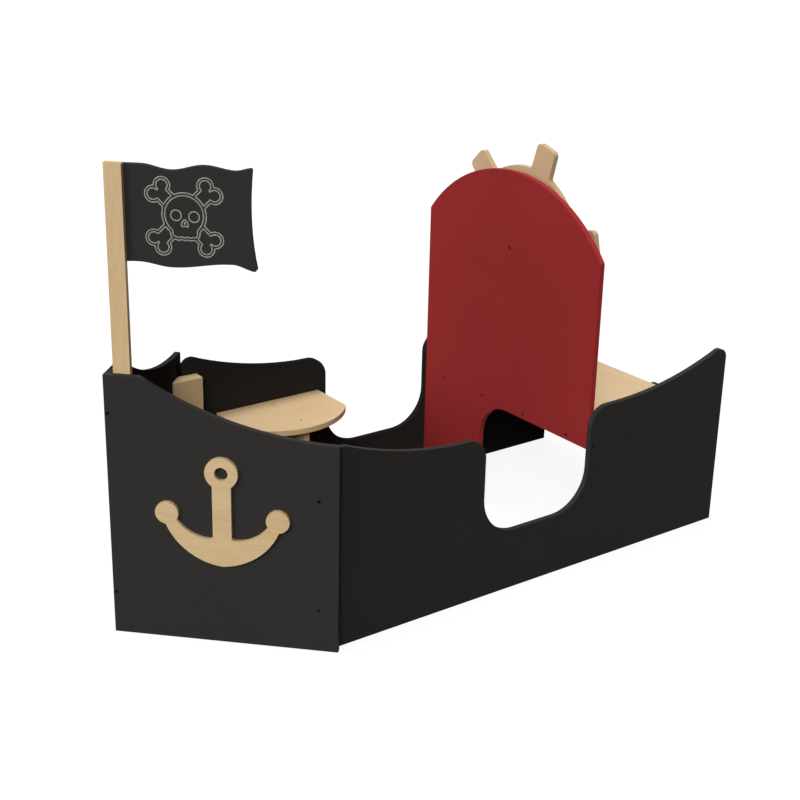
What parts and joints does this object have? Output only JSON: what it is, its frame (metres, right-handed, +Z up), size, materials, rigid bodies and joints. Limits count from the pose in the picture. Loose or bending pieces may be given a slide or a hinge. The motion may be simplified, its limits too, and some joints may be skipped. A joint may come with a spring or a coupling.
{
  "type": "play boat",
  "caption": "Child's play boat of flat boards, with a pointed bow, gated sides, an arched helm with a turning ship's wheel, bench, side table, mast and flag.",
  "frame": {"origin": "on the floor, at the middle of the boat's overall box", "axes": "+X to port, +Y aft (the bow points along -Y), +Z up"},
  "size_m": [0.919, 2, 1.3562],
  "materials": {
    "black_board": "black faced board, matt",
    "red_board": "dark red faced board, matt",
    "birch_plywood": "clear lacquered light wood, satin",
    "zinc_steel": "zinc plated",
    "dark_steel": "blackened",
    "dark_plastic": "moulded, matt"
  },
  "bodies": {
    "boat": {"axle_bolt": "dark_steel", "axle_cap": "dark_plastic", "bench_board": "birch_plywood", "flag": "black_board", "flag_screw_1": "dark_steel", "flag_screw_2": "dark_steel", "front_washer": "zinc_steel", "helm_bench_screw_1": "dark_steel", "helm_bench_screw_2": "dark_steel", "helm_bench_screw_3": "dark_steel", "helm_bench_screw_4": "dark_steel", "helm_board": "red_board", "lock_nut": "zinc_steel", "mast": "birch_plywood", "mast_screw_1": "dark_steel", "mast_screw_2": "dark_steel", "port_anchor": "birch_plywood", "port_anchor_screw_1": "dark_steel", "port_anchor_screw_2": "dark_steel", "port_bow_board": "black_board", "port_corner_post": "birch_plywood", "port_corner_screw_1": "dark_steel", "port_corner_screw_2": "dark_steel", "port_corner_screw_3": "dark_steel", "port_corner_screw_4": "dark_steel", "port_hull_screw_1": "dark_steel", "port_hull_screw_2": "dark_steel", "port_hull_screw_3": "dark_steel", "port_side_board": "black_board", "rear_washer": "zinc_steel", "starboard_anchor": "birch_plywood", "starboard_anchor_screw_1": "dark_steel", "starboard_anchor_screw_2": "dark_steel", "starboard_bow_board": "black_board", "starboard_corner_post": "birch_plywood", "starboard_corner_screw_1": "dark_steel", "starboard_corner_screw_2": "dark_steel", "starboard_corner_screw_3": "dark_steel", "starboard_corner_screw_4": "dark_steel", "starboard_hull_screw_1": "dark_steel", "starboard_hull_screw_2": "dark_steel", "starboard_hull_screw_3": "dark_steel", "starboard_side_board": "black_board", "stem_screw_1": "dark_steel", "stem_screw_2": "dark_steel", "stern_leg": "black_board", "stern_leg_screw_1": "dark_steel", "stern_leg_screw_2": "dark_steel", "stern_leg_screw_3": "dark_steel", "stern_leg_screw_4": "dark_steel", "table_screw_1": "zinc_steel", "table_screw_2": "zinc_steel", "table_side_screw_1": "dark_steel", "table_side_screw_2": "dark_steel", "table_side_screw_3": "dark_steel", "table_support": "birch_plywood", "table_top": "birch_plywood", "wheel_spacer": "dark_plastic"},
    "wheel": {"steering_wheel": "birch_plywood", "wheel_bush": "dark_plastic"}
  },
  "joints": [
    {"name": "wheel_spin", "type": "hinge", "parent": "boat", "child": "wheel", "pos_m": [0, 0.4745, 0.9295], "axis": [0, 1, 0], "continuous": true}
  ]
}
